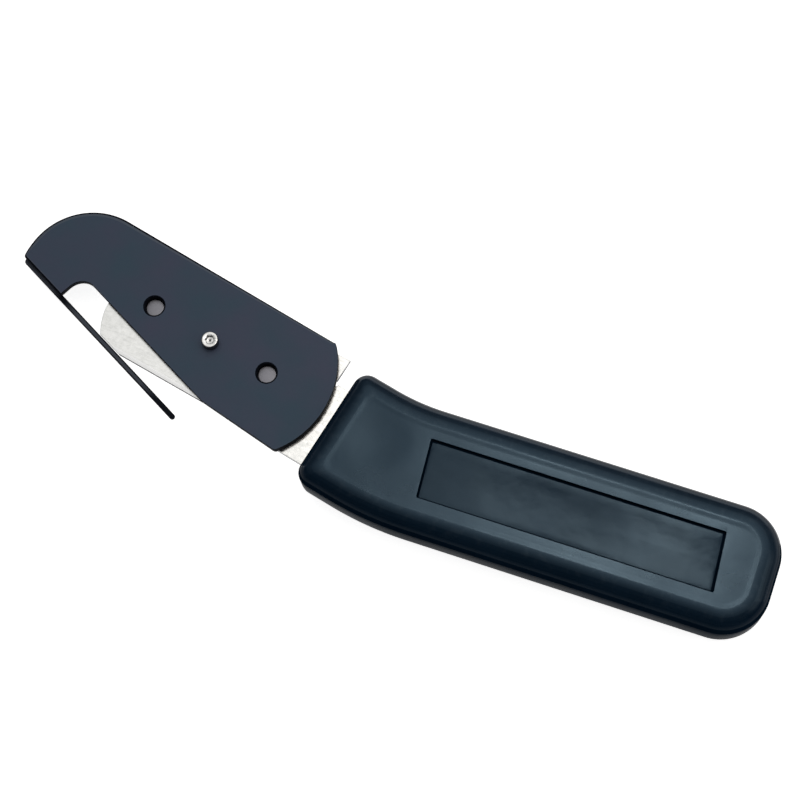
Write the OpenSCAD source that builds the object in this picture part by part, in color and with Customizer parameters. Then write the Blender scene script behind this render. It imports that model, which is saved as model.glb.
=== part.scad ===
// Hook cutter: a guarded knife whose thin finger runs under the work while the blade crosses the slot.
// It lies on the flat back of its handle. +X runs along the grip to the butt, +Y to the spine, +Z up.
// The origin is the middle of the straight grip, on the flat back.

/* [Handle] */
// Width of the handle across its long sides
handle_w = 33.8; // [30:0.1:37]
// Thickness of the handle, from the flat back to the labelled face
handle_t = 18; // [16:0.5:22]
// Length of the straight grip, from the bend to the butt
grip_len = 92.9; // [85:0.1:110]
// Angle between the grip and the neck
bend_deg = 13.3; // [8:0.1:18]
// Radius of the bend on its hollow side
bend_r = 59; // [45:1:75]
// Length of the straight neck in front of the bend
neck_len = 10.8; // [10:0.1:16]
// Radius of the butt's corners
butt_r = 12.5; // [8:0.5:13.5]
// Radius of the neck's corners
neck_r = 4; // [3:0.1:8]
// Rounding of the edges all round the handle
edge_r = 5.5; // [3:0.1:6]

/* [Label] */
// Length of the label pocket
label_len = 78; // [60:1:84]
// Width of the label pocket
label_w = 15.7; // [10:0.1:18]
// Slant of the pocket's short sides
label_slant = 4.5; // [0:0.5:8]
// Middle of the label pocket along the grip
label_x = -7.3; // [-9:0.1:-1]
// Depth of the label's face below the handle's face
label_recess = 0.6; // [0.3:0.1:1]
// Thickness of the label plate
label_t = 0.8; // [0.5:0.1:1.5]

/* [Blade] */
// Thickness of the blade
blade_t = 1.2; // [1:0.1:2.5]
// Width of the blade at its shoulder, from the tang's lower side to the spine
blade_w = 30.5; // [28:0.1:33]
// Cutting edge below the neck's axis, at its tip
edge_drop = 12.3; // [11.5:0.1:13]
// Rise of the cutting edge to the handle, against the neck's axis
edge_rise = 1.3; // [0:0.1:2]
// Reach of the blade's round front from the handle
blade_reach = 69; // [66:0.1:72]
// Radius of the blade's round front
blade_front_r = 16.4; // [15:0.1:18]
// Fall of the spine from the shoulder to the round front
spine_fall = 2.4; // [1:0.1:4]
// Distance of the cutting edge's rear end from the handle, behind the guard
choil_reach = 14; // [12:0.5:15]
// Width of the ground bevel
bevel_w = 1.3; // [0.8:0.1:2.5]
// Thickness left at the cutting edge
keen_t = 0.2; // [0.1:0.05:0.4]
// Share of the way from the blade's middle to its front face at which the cutting edge lies
keen_share = 0.84; // [0:0.02:0.9]
// Gap between the shoulder and the handle
shoulder_gap = 4.9; // [4:0.1:5.5]
// Width of the tang where it leaves the handle
tang_w = 23.2; // [20:0.1:25]
// Lower side of the tang below the neck's axis
tang_drop = 12.3; // [11:0.1:13]
// Depth of the wide tang in the neck
tang_in = 9; // [7:0.5:9.5]
// Radius of the relief notch between the shoulder and the tang
relief_r = 0.8; // [0.5:0.1:1.2]
// Width of the tang's tail in the grip
tail_w = 12; // [9:0.5:14]
// Length of the tail past the bend
tail_len = 60; // [45:1:75]
// Diameter of the tail's anchor holes
anchor_d = 5; // [3:0.5:6]
// Distance of the first anchor hole past the bend
anchor_x = 14; // [10:1:18]
// Spacing of the two anchor holes
anchor_gap = 32; // [20:1:36]

/* [Guard] */
// Thickness of the guard plate
guard_t = 2.4; // [2.2:0.1:4]
// Length of the nose in front of the slot's end
nose_len = 14.7; // [13:0.1:16]
// Radius of the nose
nose_r = 19; // [18:0.1:20]
// Radius of the corner under the nose
chin_r = 1.2; // [0.8:0.1:1.5]
// Stand of the guard past the blade's spine
guard_over = 1.5; // [0.5:0.1:2]
// Stand of the guard below the tang's lower side, at the handle
guard_under = 1.2; // [1:0.1:2]
// Slope of the guard's lower edge against the neck's axis
guard_fall = 3; // [2:0.1:3.5]
// Gap between the guard's round rear end and the handle
rear_gap = 3.1; // [2:0.1:3.5]
// Radius of the guard's round rear end
rear_r = 25.2; // [23:0.1:28]
// Middle of the rear end above the neck's axis
rear_rise = 2.2; // [1.5:0.1:3]
// Radius of the rear corners
rear_corner_r = 1.2; // [0.8:0.1:2]
// Chamfer along the spine, the nose and the chin
guard_chamfer = 0.9; // [0.4:0.1:1.2]

/* [Slot and finger] */
// Slant of the slot against the neck's axis
slot_deg = 15.1; // [13:0.1:17]
// Length of the slot in front of the blade
eye_len = 11.9; // [10:0.1:14]
// Lower corner of the slot's end below the neck's axis
slot_drop = 6.35; // [5.8:0.05:7]
// Width of the slot
slot_w = 7.5; // [6.5:0.1:8.5]
// Rounding of the slot's end
slot_r = 4.8; // [3:0.1:5]
// Width of the finger
finger_w = 1.5; // [1.1:0.05:2]
// Length of the finger from the slot's end
finger_len = 46.5; // [40:0.1:50]
// Ledge of the finger's root below the guard's chin
chin_ledge = 0.85; // [0.3:0.05:0.9]
// Set-back of the root plate inside the nose
root_inset = 0.2; // [0.1:0.1:2.5]
// Set-back of the root plate behind the slot's end
root_back = 0.5; // [0.3:0.1:1]
// Width of the root plate above the finger
root_w = 9; // [8:0.1:11]

/* [Screws and pins] */
// Distance of the middle between the pins from the blade's front
pin_set = 29.75; // [28:0.05:32]
// Line of the pins above the neck's axis
pin_rise = 3.4; // [2.5:0.1:4]
// Distance of each pin from the middle between them
pin_gap = 17.85; // [16:0.05:18.5]
// Diameter of the pins
pin_d = 4.9; // [4:0.1:5.5]
// Stand of the pins above the blade
pin_stand = 0.6; // [0.5:0.1:2]
// Chamfer of the pins and of the pin holes
pin_chamfer = 0.2; // [0.1:0.05:0.3]
// Thread diameter of the clamp screw
screw_d = 2.5; // [2:0.1:3]
// Set-back of the clamp screw from the middle between the pins
screw_back = 0.65; // [-1:0.05:1]
// Drop of the clamp screw below the line of the pins
screw_fall = 0.6; // [0:0.05:1]
// Head diameter of the clamp screw
screw_head_d = 4.4; // [4:0.1:5.5]
// Head height of the clamp screw
screw_head_h = 2.5; // [1.5:0.1:3]
// Width across the flats of the head's socket
socket_af = 2; // [1.5:0.1:2.5]
// Depth of the head's socket
socket_h = 1.3; // [0.8:0.1:1.4]
// Chamfer of the head's upper edge
head_chamfer = 0.2; // [0.1:0.05:0.3]
// Thickness of the clamp bar
bar_t = 3; // [2.5:0.1:4]
// Width of the clamp bar
bar_w = 9; // [8:0.1:12]
// Thread diameter of the finger screws
finger_screw_d = 2; // [1.6:0.1:2.2]
// Head diameter of the finger screws
finger_head_d = 3.8; // [3:0.1:4]
// Depth of the finger screws in the guard plate
finger_screw_in = 1.5; // [1:0.1:1.6]
// First finger screw behind the slot's end
finger_screw_s = 4.5; // [3:0.1:6]
// First finger screw above the finger's inner edge
finger_screw_w = 1.8; // [1.5:0.1:3]
// Second finger screw behind the first
finger_step_s = 5; // [4.5:0.1:6]
// Second finger screw above the first
finger_step_w = 3.7; // [3:0.1:4.5]

/* [Fits] */
// Running gap round the pins and the clamp screw
run_gap = 0.05; // [0.02:0.01:0.1]
// Clearance of the clamp screw's through holes
through_gap = 0.1; // [0.05:0.01:0.2]
// Gap round pieces that are pressed or moulded in
press_gap = 0.02; // [0.01:0.01:0.05]
// Gap between the guard plate and the blade
seat_gap = 0.05; // [0.02:0.01:0.1]
// Gap between the blade's clipped tip and the finger
tip_gap = 0.2; // [0.1:0.05:0.5]
// Gap round the label plate
label_gap = 0.15; // [0.05:0.05:0.3]

/* [Hidden] */
$fn = 64;
// Steps of long and of short arcs in an outline
long_arc = 16;
short_arc = 6;
// Smallest radius left on a corner that is drawn in
least_r = 0.5;
// Run of a cutter past the face it opens
cut = 1;
// Overlap of solids that are one piece
eps = 0.01;

// Levels
mid_z = handle_t / 2;
blade_low = mid_z - blade_t / 2;
blade_top = mid_z + blade_t / 2;
guard_low = blade_top + seat_gap;
guard_high = guard_low + guard_t;
bar_low = blade_low - bar_t;
// Height of the cutting edge above the blade's middle
keen_z = keen_share * (blade_t - keen_t) / 2;

// Handle
half_w = handle_w / 2;
edge = min(edge_r, butt_r - least_r, handle_t / 2 - least_r);
edge_steps = 5;
bend_c = [-grip_len / 2, half_w + bend_r];
axis_r = bend_r + half_w;
bend_end = bend_c - axis_r * [sin(bend_deg), cos(bend_deg)];
neck_face = bend_end + neck_len * [-cos(bend_deg), sin(bend_deg)];
label_floor = handle_t - label_recess - label_t;

// Head frame: origin at the middle of the handle's front face, +X back along the neck, +Y to the spine
slot_reach = blade_reach + eye_len;
guard_reach = slot_reach + nose_len;
pin_reach = blade_reach - pin_set;
spine_y = blade_w - tang_drop;
tang_y = tang_w - tang_drop;
front_c = [blade_front_r - blade_reach, spine_y - spine_fall - blade_front_r];
guard_y = spine_y + guard_over;
nose_c = [nose_r - guard_reach, guard_y - nose_r];
rear_c = [-rear_gap - rear_r, rear_rise];
slot_root = [-slot_reach, -slot_drop];
chin_w = chin_ledge - finger_w;
under_n = [-sin(guard_fall), -cos(guard_fall)];
under_c = (tang_drop + guard_under) * cos(guard_fall);

function turn(p, deg) = [p.x * cos(deg) - p.y * sin(deg), p.x * sin(deg) + p.y * cos(deg)];
function heading(v) = (atan2(v.y, v.x) + 360) % 360;
function arc(c, r, from, to, n) =
    [for (i = [0:n]) c + r * [cos(from + (to - from) * i / n), sin(from + (to - from) * i / n)]];
// Points of the slot frame in the head frame: s runs along the slot to its mouth, w across to the spine
function from_slot(s, w) = slot_root + turn([s, w], -slot_deg);
function to_slot(p) = turn(p - slot_root, slot_deg);
function to_head(p) = turn(p - neck_face, bend_deg);
// Where a circle meets the line at height w on its nose side
function left_of(c, r, w) = c.x - sqrt(r * r - (w - c.y) * (w - c.y));
// Centre of a fillet r between the circle (c, big) and the line n * p = offset, on the side t
function fillet_c(c, big, n, offset, r, t) =
    let (d = offset - r - n * c) c + n * d + t * sqrt((big - r) * (big - r) - d * d);

module at_head() {
    translate([neck_face.x, neck_face.y, 0])
        rotate(-bend_deg)
            children();
}

module at_slot(s, w) {
    p = from_slot(s, w);
    at_head()
        translate([p.x, p.y, 0])
            children();
}

module at_pin(along, z) {
    at_head()
        translate([along - pin_reach, pin_rise, z])
            children();
}

module at_screw(z) {
    at_head()
        translate([screw_back - pin_reach, pin_rise - screw_fall, z])
            children();
}

// Outline of the handle, drawn in by d
function handle_ring(d) = concat(
    arc([grip_len / 2 - butt_r, butt_r - half_w], butt_r - d, -90, 0, 2 * short_arc),
    arc([grip_len / 2 - butt_r, half_w - butt_r], butt_r - d, 0, 90, 2 * short_arc),
    arc(bend_c, bend_r + d, -90, -90 - bend_deg, short_arc),
    arc(neck_corner(1, d), corner_r(d), 90 - bend_deg, 180 - bend_deg, short_arc),
    arc(neck_corner(-1, d), corner_r(d), 180 - bend_deg, 270 - bend_deg, short_arc),
    arc(bend_c, bend_r + handle_w - d, -90 - bend_deg, -90, short_arc));
function corner_r(d) = max(neck_r - d, least_r);
function neck_corner(side, d) =
    let (in = d + corner_r(d)) neck_face + turn([in, side * (half_w - in)], -bend_deg);

// Draw-in and height of each ring, from the flat back up to the face
edge_rings = concat(
    [for (i = [0:edge_steps]) let (q = 90 * i / edge_steps) [edge * (1 - sin(q)), edge * (1 - cos(q))]],
    [for (i = [0:edge_steps]) let (q = 90 * i / edge_steps)
        [edge * (1 - cos(q)), handle_t - edge * (1 - sin(q))]]);

module handle_solid() {
    n = len(handle_ring(0));
    rows = len(edge_rings);
    points = [for (e = edge_rings) for (p = handle_ring(e.x)) [p.x, p.y, e.y]];
    sides = [for (i = [0:rows - 2]) for (j = [0:n - 1])
        let (a = i * n + j, b = i * n + (j + 1) % n)
            each [[a, a + n, b + n], [a, b + n, b]]];
    back = [for (j = [0:n - 1]) j];
    face = [for (j = [0:n - 1]) rows * n - 1 - j];
    polyhedron(points, concat(sides, [back, face]));
}

// Outline of the tang in the head frame, grown by g, from low_x back round the tail to high_x
function tang_outline(low_x, high_x, g) = concat(
    [[low_x, -tang_drop - g], [tang_in + g, -tang_drop - g]],
    [for (p = arc(bend_c, axis_r + tail_w / 2 + g, -90 - bend_deg, -90, short_arc)) to_head(p)],
    [for (p = arc([tail_end - tail_w / 2, 0], tail_w / 2 + g, -90, 90, long_arc)) to_head(p)],
    [for (p = arc(bend_c, axis_r - tail_w / 2 - g, -90, -90 - bend_deg, short_arc)) to_head(p)],
    [[tang_in + g, tang_y + g], [high_x, tang_y + g]]);
tail_end = tail_len - grip_len / 2;
anchors = [for (k = [0, 1]) anchor_x + k * anchor_gap - grip_len / 2];

// Room for the tang, with moulded plugs left standing in its anchor holes
module tang_room() {
    difference() {
        translate([0, 0, blade_low - press_gap])
            at_head()
                linear_extrude(blade_t + 2 * press_gap)
                    polygon(tang_outline(-cut, -cut, press_gap));
        for (x = anchors)
            translate([x, 0, blade_low - cut])
                cylinder(d = anchor_d - 2 * press_gap, h = blade_t + 2 * cut);
    }
}

// Slanted outline of the label, drawn in by g
module label_outline(g) {
    l = label_len / 2 - g;
    w = label_w / 2 - g;
    lean = w * tan(label_slant);
    polygon([[-l + lean, -w], [l + lean, -w], [l - lean, w], [-l - lean, w]]);
}

module handle() {
    color("midnightblue")
        difference() {
            handle_solid();
            tang_room();
            translate([label_x, 0, label_floor])
                linear_extrude(label_recess + label_t + cut)
                    label_outline(0);
        }
}

module label_plate() {
    color("darkslategray")
        translate([label_x, 0, label_floor])
            linear_extrude(label_t)
                label_outline(label_gap);
}

// Outline of the blade in the head frame
function clip_end() = from_slot((edge_drop - slot_drop + tip_gap * cos(slot_deg)) / sin(slot_deg), tip_gap);
function clip_deg() =
    let (c = to_slot(front_c))
        heading([left_of(c, blade_front_r, tip_gap), tip_gap] - c) - slot_deg;
edge_run = -choil_reach - clip_end().x;
edge_end = clip_end() + edge_run * [1, tan(edge_rise)];
blade_outline = concat(
    [clip_end(), edge_end],
    tang_outline(-choil_reach, -shoulder_gap, 0),
    [[-shoulder_gap, spine_y]],
    arc(front_c, blade_front_r, 90, clip_deg(), long_arc));

// Ground bevel on one face down to a height of the cutting edge, run out past the clipped tip
module bevel(high) {
    tip = clip_end();
    front = bevel_w / tan(slot_deg) + cut;
    translate([tip.x, tip.y, 0])
        rotate([90, 0, 90 + edge_rise])
            translate([0, 0, -front])
                linear_extrude(front + edge_run - bevel_w)
                    polygon([[-cut, high], [0, high], [bevel_w, blade_t / 2],
                             [bevel_w, blade_t], [-cut, blade_t]]);
}

module blade() {
    color("silver")
        difference() {
            at_head()
                translate([0, 0, blade_low])
                    linear_extrude(blade_t)
                        polygon(blade_outline);
            for (side = [0, 1])
                at_head()
                    translate([0, 0, mid_z])
                        mirror([0, 0, side])
                            bevel(keen_t / 2 + (side == 0 ? keen_z : -keen_z));
            at_head()
                translate([-shoulder_gap, tang_y, blade_low - cut])
                    cylinder(r = relief_r, h = blade_t + 2 * cut);
            for (along = [-pin_gap, pin_gap])
                at_pin(along, blade_low - cut)
                    cylinder(d = pin_d + 2 * press_gap, h = blade_t + 2 * cut);
            at_screw(blade_low - cut)
                cylinder(d = screw_d + 2 * through_gap, h = blade_t + 2 * cut);
            for (x = anchors)
                translate([x, 0, blade_low - cut])
                    cylinder(d = anchor_d, h = blade_t + 2 * cut);
        }
}

// Outline of the guard plate in the head frame, counterclockwise from the lower rear corner.
// The nose stands square here, and nose_cut() turns it round.
chin_n = turn([0, -1], -slot_deg);
chin_c = chin_n * from_slot(0, chin_w);
under_fillet = fillet_c(rear_c, rear_r, under_n, under_c, rear_corner_r, [-under_n.y, under_n.x]);
top_fillet = fillet_c(rear_c, rear_r, [0, 1], guard_y, rear_corner_r, [1, 0]);
chin_fillet = fillet_c(nose_c, nose_r, chin_n, chin_c, chin_r, turn([-1, 0], -slot_deg));
under_deg = heading(under_fillet - rear_c) - 360;
top_deg = heading(top_fillet - rear_c);
chin_deg = heading(chin_fillet - nose_c);
chin_start = nose_c + nose_r * [cos(chin_deg), sin(chin_deg)];
wall_start = from_slot(0, slot_w);
wall_dir = turn([1, 0], -slot_deg);
mouth = wall_start + wall_dir * (under_c - under_n * wall_start) / (under_n * wall_dir);
slot_corner = from_slot(slot_r, slot_w - slot_r);
guard_outline = concat(
    arc(under_fillet, rear_corner_r, heading(under_n) - 360, under_deg, short_arc),
    arc(rear_c, rear_r, under_deg, top_deg, 2 * long_arc),
    arc(top_fillet, rear_corner_r, top_deg, 90, short_arc),
    [[nose_c.x, guard_y], [nose_c.x - nose_r - cut, guard_y], [nose_c.x - nose_r - cut, chin_start.y]],
    arc(chin_fillet, chin_r, chin_deg, heading(chin_n), short_arc),
    [from_slot(0, chin_w)],
    arc(slot_corner, slot_r, 180 - slot_deg, 90 - slot_deg, long_arc),
    [mouth]);

// Chamfer along a straight edge that runs from the origin along +X, with the plate on the side of -Y
module edge_chamfer(length) {
    c = guard_chamfer;
    rotate([90, 0, 90])
        linear_extrude(length)
            polygon([[-c, 0], [cut, -c - cut], [cut, cut], [-c, cut]]);
}

// Turned outside of the nose, with its chamfer
module nose_cut() {
    c = guard_chamfer;
    far = 2 * nose_r;
    rotate(90)
        rotate_extrude(angle = chin_deg - 90)
            polygon([[nose_r, -guard_t - cut], [far, -guard_t - cut], [far, cut],
                     [nose_r - c - cut, cut], [nose_r, -c]]);
}

module guard_chamfers() {
    corner = from_slot(0, chin_w);
    translate([nose_c.x, guard_y, 0])
        edge_chamfer(-nose_c.x);
    translate([nose_c.x, nose_c.y, 0])
        nose_cut();
    translate([corner.x, corner.y, 0])
        rotate(180 - slot_deg)
            edge_chamfer(nose_r);
}

module guard_plate() {
    color("darkslategray")
        difference() {
            at_head()
                translate([0, 0, guard_low])
                    linear_extrude(guard_t)
                        polygon(guard_outline);
            at_head()
                translate([0, 0, guard_high])
                    guard_chamfers();
            for (along = [-pin_gap, pin_gap]) {
                at_pin(along, guard_low - cut)
                    cylinder(d = pin_d + 2 * run_gap, h = guard_t + 2 * cut);
                at_pin(along, guard_high - pin_chamfer)
                    cylinder(d1 = pin_d + 2 * run_gap, d2 = pin_d + 2 * run_gap + 2 * (pin_chamfer + cut),
                             h = pin_chamfer + cut);
            }
            at_screw(guard_low - cut)
                cylinder(d = screw_d + 2 * through_gap, h = guard_t + 2 * cut);
            for (p = finger_screw_spots)
                at_slot(-p.x, p.y)
                    translate([0, 0, guard_low - cut])
                        cylinder(d = finger_screw_d + 2 * press_gap, h = cut + finger_screw_in + press_gap);
        }
}

finger_screw_spots = [for (k = [0, 1])
    [finger_screw_s + k * finger_step_s, finger_screw_w + k * finger_step_w]];
finger_low = guard_low - blade_t;

// Outline of the finger and its root plate in the slot frame
nose_s = to_slot(nose_c);
root_r = nose_r - root_inset;
root_top = [left_of(nose_s, root_r, root_w), root_w];
root_foot = [left_of(nose_s, root_r, -finger_w), -finger_w];
finger_outline = concat(
    arc([finger_len - finger_w / 2, -finger_w / 2], finger_w / 2, -90, 90, short_arc),
    [[-root_back, 0], [-root_back, root_w]],
    arc(nose_s, root_r, heading(root_top - nose_s), heading(root_foot - nose_s), long_arc));

module guide_finger() {
    head_h = (finger_head_d - finger_screw_d) / 2;
    color("dimgray")
        difference() {
            at_head()
                translate([slot_root.x, slot_root.y, finger_low])
                    rotate(-slot_deg)
                        linear_extrude(blade_t)
                            polygon(finger_outline);
            for (p = finger_screw_spots)
                at_slot(-p.x, p.y) {
                    translate([0, 0, finger_low - cut])
                        cylinder(d = finger_screw_d + 2 * press_gap, h = blade_t + 2 * cut);
                    translate([0, 0, finger_low - eps])
                        cylinder(d1 = finger_head_d + 2 * (press_gap + eps),
                                 d2 = finger_screw_d + 2 * press_gap, h = head_h + eps);
                }
        }
}

module finger_screws() {
    head_h = (finger_head_d - finger_screw_d) / 2;
    color("gray")
        for (p = finger_screw_spots)
            at_slot(-p.x, p.y)
                translate([0, 0, finger_low])
                    difference() {
                        union() {
                            cylinder(d1 = finger_head_d, d2 = finger_screw_d, h = head_h);
                            cylinder(d = finger_screw_d, h = blade_t + finger_screw_in);
                        }
                        translate([0, 0, -cut])
                            cylinder(d = finger_screw_d / 2, h = cut + head_h, $fn = 6);
                    }
}

module clamp_screw() {
    color("gainsboro")
        at_screw(guard_high)
            difference() {
                union() {
                    cylinder(d = screw_head_d, h = screw_head_h - head_chamfer);
                    translate([0, 0, screw_head_h - head_chamfer])
                        cylinder(d1 = screw_head_d, d2 = screw_head_d - 2 * head_chamfer, h = head_chamfer);
                    translate([0, 0, bar_low - guard_high])
                        cylinder(d = screw_d, h = guard_high - bar_low + eps);
                }
                translate([0, 0, screw_head_h - socket_h])
                    cylinder(d = socket_af / cos(30), h = socket_h + cut, $fn = 6);
            }
}

module clamp_bar() {
    color("slategray")
        difference() {
            union() {
                at_pin(-pin_gap, bar_low)
                    translate([0, -bar_w / 2, 0])
                        cube([2 * pin_gap, bar_w, bar_t]);
                for (along = [-pin_gap, pin_gap])
                    at_pin(along, bar_low)
                        cylinder(d = bar_w, h = bar_t);
            }
            for (along = [-pin_gap, pin_gap])
                at_pin(along, bar_low - cut)
                    cylinder(d = pin_d + 2 * press_gap, h = bar_t + 2 * cut);
            at_screw(bar_low - cut)
                cylinder(d = screw_d + 2 * run_gap, h = bar_t + 2 * cut);
        }
}

// Locating pin, flush with the back of the clamp bar and standing a little above the blade
module pin(along) {
    length = bar_t + blade_t + pin_stand;
    at_pin(along, bar_low) {
        cylinder(d = pin_d, h = length - pin_chamfer);
        translate([0, 0, length - pin_chamfer])
            cylinder(d1 = pin_d, d2 = pin_d - 2 * pin_chamfer, h = pin_chamfer);
    }
}

module front_pin() {
    color("lightslategray")
        pin(-pin_gap);
}

module rear_pin() {
    color("lightslategray")
        pin(pin_gap);
}

handle();
label_plate();
blade();
guard_plate();
guide_finger();
finger_screws();
clamp_screw();
clamp_bar();
front_pin();
rear_pin();
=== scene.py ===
"""Guarded hook cutter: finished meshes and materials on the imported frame, with light, floor and camera."""
from math import atan2, cos, degrees, hypot, pi, radians, sin, sqrt, tan

import bmesh
import bpy
import numpy as np
from mathutils import Matrix, Vector
from mathutils.geometry import delaunay_2d_cdt


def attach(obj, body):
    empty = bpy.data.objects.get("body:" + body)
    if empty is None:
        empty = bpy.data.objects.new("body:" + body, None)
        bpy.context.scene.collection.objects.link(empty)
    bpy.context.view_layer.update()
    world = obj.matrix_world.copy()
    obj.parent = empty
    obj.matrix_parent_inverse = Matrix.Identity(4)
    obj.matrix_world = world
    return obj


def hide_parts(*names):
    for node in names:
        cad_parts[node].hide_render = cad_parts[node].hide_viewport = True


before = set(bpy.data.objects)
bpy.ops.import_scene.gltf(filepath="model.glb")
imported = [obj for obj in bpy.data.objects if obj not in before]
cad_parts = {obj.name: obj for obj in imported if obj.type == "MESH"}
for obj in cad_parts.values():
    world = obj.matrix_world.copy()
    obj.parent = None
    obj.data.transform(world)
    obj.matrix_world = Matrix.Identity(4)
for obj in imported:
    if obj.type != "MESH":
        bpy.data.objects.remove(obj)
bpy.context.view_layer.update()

# Lengths are millimetres and angles degrees, as in the part's source
MM = 0.001

# Handle
HANDLE_W, HANDLE_T, GRIP_LEN = 33.8, 18.0, 92.9
BEND_DEG, BEND_R, NECK_LEN = 13.3, 59.0, 10.8
BUTT_R, NECK_R, EDGE_R, LEAST_R = 12.5, 4.0, 5.5, 2.0
HALF_W = HANDLE_W / 2
AXIS_R = BEND_R + HALF_W
# Sag of the slightly dished face in its middle line, and half its width
DISH, FACE_HALF = 0.07, HALF_W - EDGE_R
# Lip along the face's border: drop of the face inside it, and the width of that drop
LIP, LIP_W, LIP_ROWS = 0.038, 1.6, 8
# The handle gets duller down its side: height down to which a level reaches, its gloss and its roughness
SHINES = (
    (17.6, 0.5, (0.16, 0.25)), (17.16, 0.36, (0.16, 0.25)), (16.59, 0.24, (0.17, 0.26)),
    (15.89, 0.12, (0.2, 0.3)), (15.08, 0.04, (0.2, 0.3)), (12.5, 0.0, (0.2, 0.3)),
    (10.7, 0.0008, (0.2, 0.3)), (9.0, 0.0018, (0.2, 0.3)), (7.2, 0.0028, (0.2, 0.3)),
    (-1, 0.0035, (0.2, 0.3)),
)
# Extra rings of the side wall, where its gloss changes
SIDE_ROWS = (7.2, 9.0, 10.7)
# The side along the spine and the underside keep the satin level from the dull level down
SATIN_LEVEL, DULL_LEVEL = 3, 5
# Parts of a face's normal that tell the spine side, the underside and the side away from the spine
SPINE_SIDE, UNDERSIDE, AWAY_SIDE = 0.4, -0.5, -0.1
# Rows of the rounding at the foot and at the top, and wear along the foot
FOOT_ROWS, TOP_ROWS, FOOT_WEAR = 12, 16, 0.3
# Thumb hollow of the face: place, radius and depth
HOLLOW_AT, HOLLOW_R, HOLLOW_DEPTH = (-59.5, 3.0), 10.0, 0.2

# Label inlay: pocket, and gaps of the plate to the left, right, top and bottom of the pocket
LABEL_LEN, LABEL_W, LABEL_SLANT, LABEL_X = 78.0, 15.7, 4.5, -7.3
LABEL_FLOOR, LABEL_TOP = 16.6, 17.4
LABEL_GAPS = (0.4, 0.6, 0.6, 0.15)
# Sag of the slightly dished plate in its middle line
LABEL_DISH = 0.08
# Corners of the label and its pocket, their upper edge, and the lower edge of the plate
LABEL_CORNER, LABEL_RIM, LABEL_FOOT = 0.3, 0.12, 0.05

# Blade
BLADE_T, BLADE_W, BLADE_REACH, BLADE_FRONT_R = 1.2, 30.5, 69.0, 16.4
EDGE_DROP, EDGE_RISE, SPINE_FALL, CHOIL_REACH = 12.3, 1.3, 2.4, 14.0
BEVEL_W, KEEN_T, KEEN_RISE, PLUNGE, HONED = 1.3, 0.2, 0.42, 1.5, 0.22
SHOULDER_GAP, TANG_W, TANG_DROP, TANG_IN, RELIEF_R = 4.9, 23.2, 12.3, 9.0, 0.8
TAIL_W, TAIL_LEN, ANCHOR_D, ANCHOR_X, ANCHOR_GAP = 12.0, 60.0, 5.0, 14.0, 32.0
# Roundings of the cutting edge, the other sides and the clipped tip
KEEN_RIM, BLADE_RIM, CLIP_RIM = 0.03, 0.12, 0.05
# Points along the cutting edge, the clipped tip and the lines of the bevel
EDGE_POINTS, CLIP_POINTS, LINE_POINTS = 60, 40, 70
# Middle line of the bevel, where it starts to run out, and how far its lines stop before the heel
BEVEL_MID, PLUNGE_START, LINE_STOP = 0.6, 0.3, 0.2
# Upright part of the normal below which a face is a side of the blade, or part of its bevel; the sides and
# the honed strip along the cutting edge get a near-black steel as painted shade
BLADE_SIDE, BLADE_BEVEL = 0.3, 0.9995

# Guard plate, slot and finger
GUARD_T, NOSE_LEN, NOSE_R, GUARD_OVER, GUARD_UNDER, GUARD_FALL = 2.4, 14.7, 19.0, 1.5, 1.2, 3.0
REAR_GAP, REAR_R, REAR_RISE, REAR_CORNER_R = 3.1, 25.2, 2.2, 1.2
# Rounding of the guard's outer edge, how many times deeper than wide it is, and its points of taper
GUARD_ROUND, GUARD_STEEP, TAPER = 1.3, 0.7, 6
SLOT_DEG, EYE_LEN, SLOT_DROP, SLOT_W, SLOT_R = 15.1, 11.9, 6.35, 7.5, 4.8
FINGER_W, FINGER_LEN, CHIN_LEDGE, ROOT_INSET, ROOT_BACK, ROOT_W = 1.5, 46.5, 0.85, 0.02, 0.5, 9.0
TIP_GAP, FINGER_ROUND = 0.2, 0.4

# Pins, clamp screw, clamp bar and finger screws
PIN_SET, PIN_RISE, PIN_GAP, PIN_D, PIN_STAND, PIN_CHAMFER = 29.75, 3.4, 17.85, 4.9, 0.6, 0.2
SCREW_D, SCREW_BACK, SCREW_FALL, SCREW_PITCH, THREAD_H = 2.5, 0.65, 0.6, 0.45, 0.2
SCREW_HEAD_D, SCREW_HEAD_H, SOCKET_AF, SOCKET_H = 4.4, 2.5, 2.0, 1.3
BAR_T, BAR_W = 3.0, 9.0
FINGER_SCREW_D, FINGER_HEAD_D, FINGER_SCREW_IN = 2.0, 3.8, 1.5
FINGER_SCREWS = ((4.5, 1.8), (9.5, 5.5))
RUN_GAP, THROUGH_GAP, PRESS_GAP, SEAT_GAP = 0.05, 0.1, 0.02, 0.05
# Thread from its start to its end above the screw's tip, its run-out, and its rows
THREAD_START, THREAD_END, THREAD_OUT, THREAD_ROWS = 0.15, 5.6, 5.9, 90
# Rounding of the screw's head, and depth and count of its knurls
HEAD_ROUND, KNURL_DEPTH, KNURLS = 0.28, 0.05, 36
# Upright part of the normal below which a face is a side of the screw and gets a darker steel as painted
# shade
SCREW_SIDE = 0.85
# Rounding of the slot's lower edge, where the work slides in
SLOT_EASE = 0.6
# Stand of the slot's end wall into the slot, corner under the nose and at the finger's foot, as photographed
SLOT_IN, CHIN_CORNER, FOOT_R = 0.5, 1.0, 0.9
# Lip of the guard's pin holes, how many times deeper than wide it is, and the share of it that is painted
# near black as shade
HOLE_LIP, HOLE_STEEP, SHADE_LIP = 0.5, 1.2, 0.95
# Plain upper and lower edge of a plate, and share of the chin's corner that its rounding takes
CRISP, BROKEN, CHIN_SHARE = 0.12, 0.1, 0.7
# Upright part of the normal below which a face of the guard is painted near black as shade, painted near
# black as shade on the side away from the spine, or painted lighter as an edge highlight
GUARD_SHADE, GUARD_NEAR_SHADE, GUARD_EDGE_HIGHLIGHT = 0.91, 0.985, 0.9999
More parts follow.
